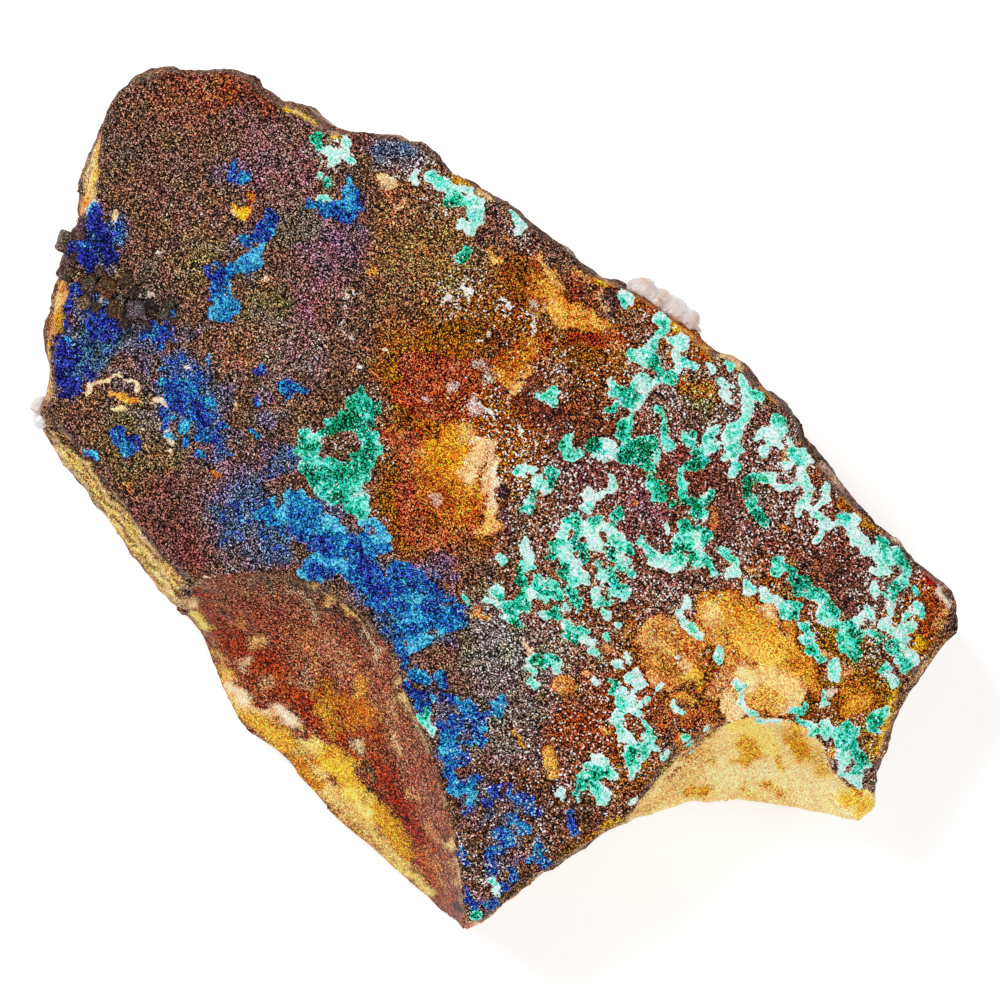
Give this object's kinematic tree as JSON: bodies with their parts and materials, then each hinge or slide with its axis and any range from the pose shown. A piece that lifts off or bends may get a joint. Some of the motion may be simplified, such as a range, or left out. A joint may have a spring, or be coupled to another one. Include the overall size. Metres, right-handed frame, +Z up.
{
  "type": "azurite and malachite mineral specimen",
  "caption": "Broken slab of limonite and jasper whose flat face carries crusts of blue azurite and green malachite, with goethite blocks and quartz knobs.",
  "frame": {"origin": "under the middle of the specimen's box, on the flat underside that it rests on", "axes": "+X along the long side towards the narrow east end, +Z up out of the mineralised face"},
  "size_m": [0.1043, 0.062, 0.025],
  "materials": {
    "matrix_stone": "drusy brown limonite over red jasper, broken sides of tan limonite",
    "azurite": "crusts of fine sparkling crystals, vivid blue",
    "malachite": "dull powdery tufts and knobs, green to pale mint",
    "goethite": "blocky crystals, brown-black, half bright",
    "quartz": "rounded drusy quartz, translucent white to pinkish"
  },
  "bodies": {
    "root": {"azurite_crescent": "azurite", "azurite_main_band": "azurite", "azurite_seam": "azurite", "azurite_south_fringe": "azurite", "azurite_upper_band": "azurite", "azurite_west_face": "azurite", "goethite_blocks": "goethite", "limonite_slab": "matrix_stone", "malachite_beads": "malachite", "malachite_corner_patch": "malachite", "malachite_diagonal": "malachite", "malachite_east_mass": "malachite", "malachite_hook": "malachite", "malachite_loop_east": "malachite", "malachite_loops_upper": "malachite", "malachite_middle_mass": "malachite", "malachite_ring_west": "malachite", "malachite_rosette": "malachite", "malachite_south_stem": "malachite", "quartz_knobs_east": "quartz", "quartz_knobs_west": "quartz"}
  },
  "joints": []
}
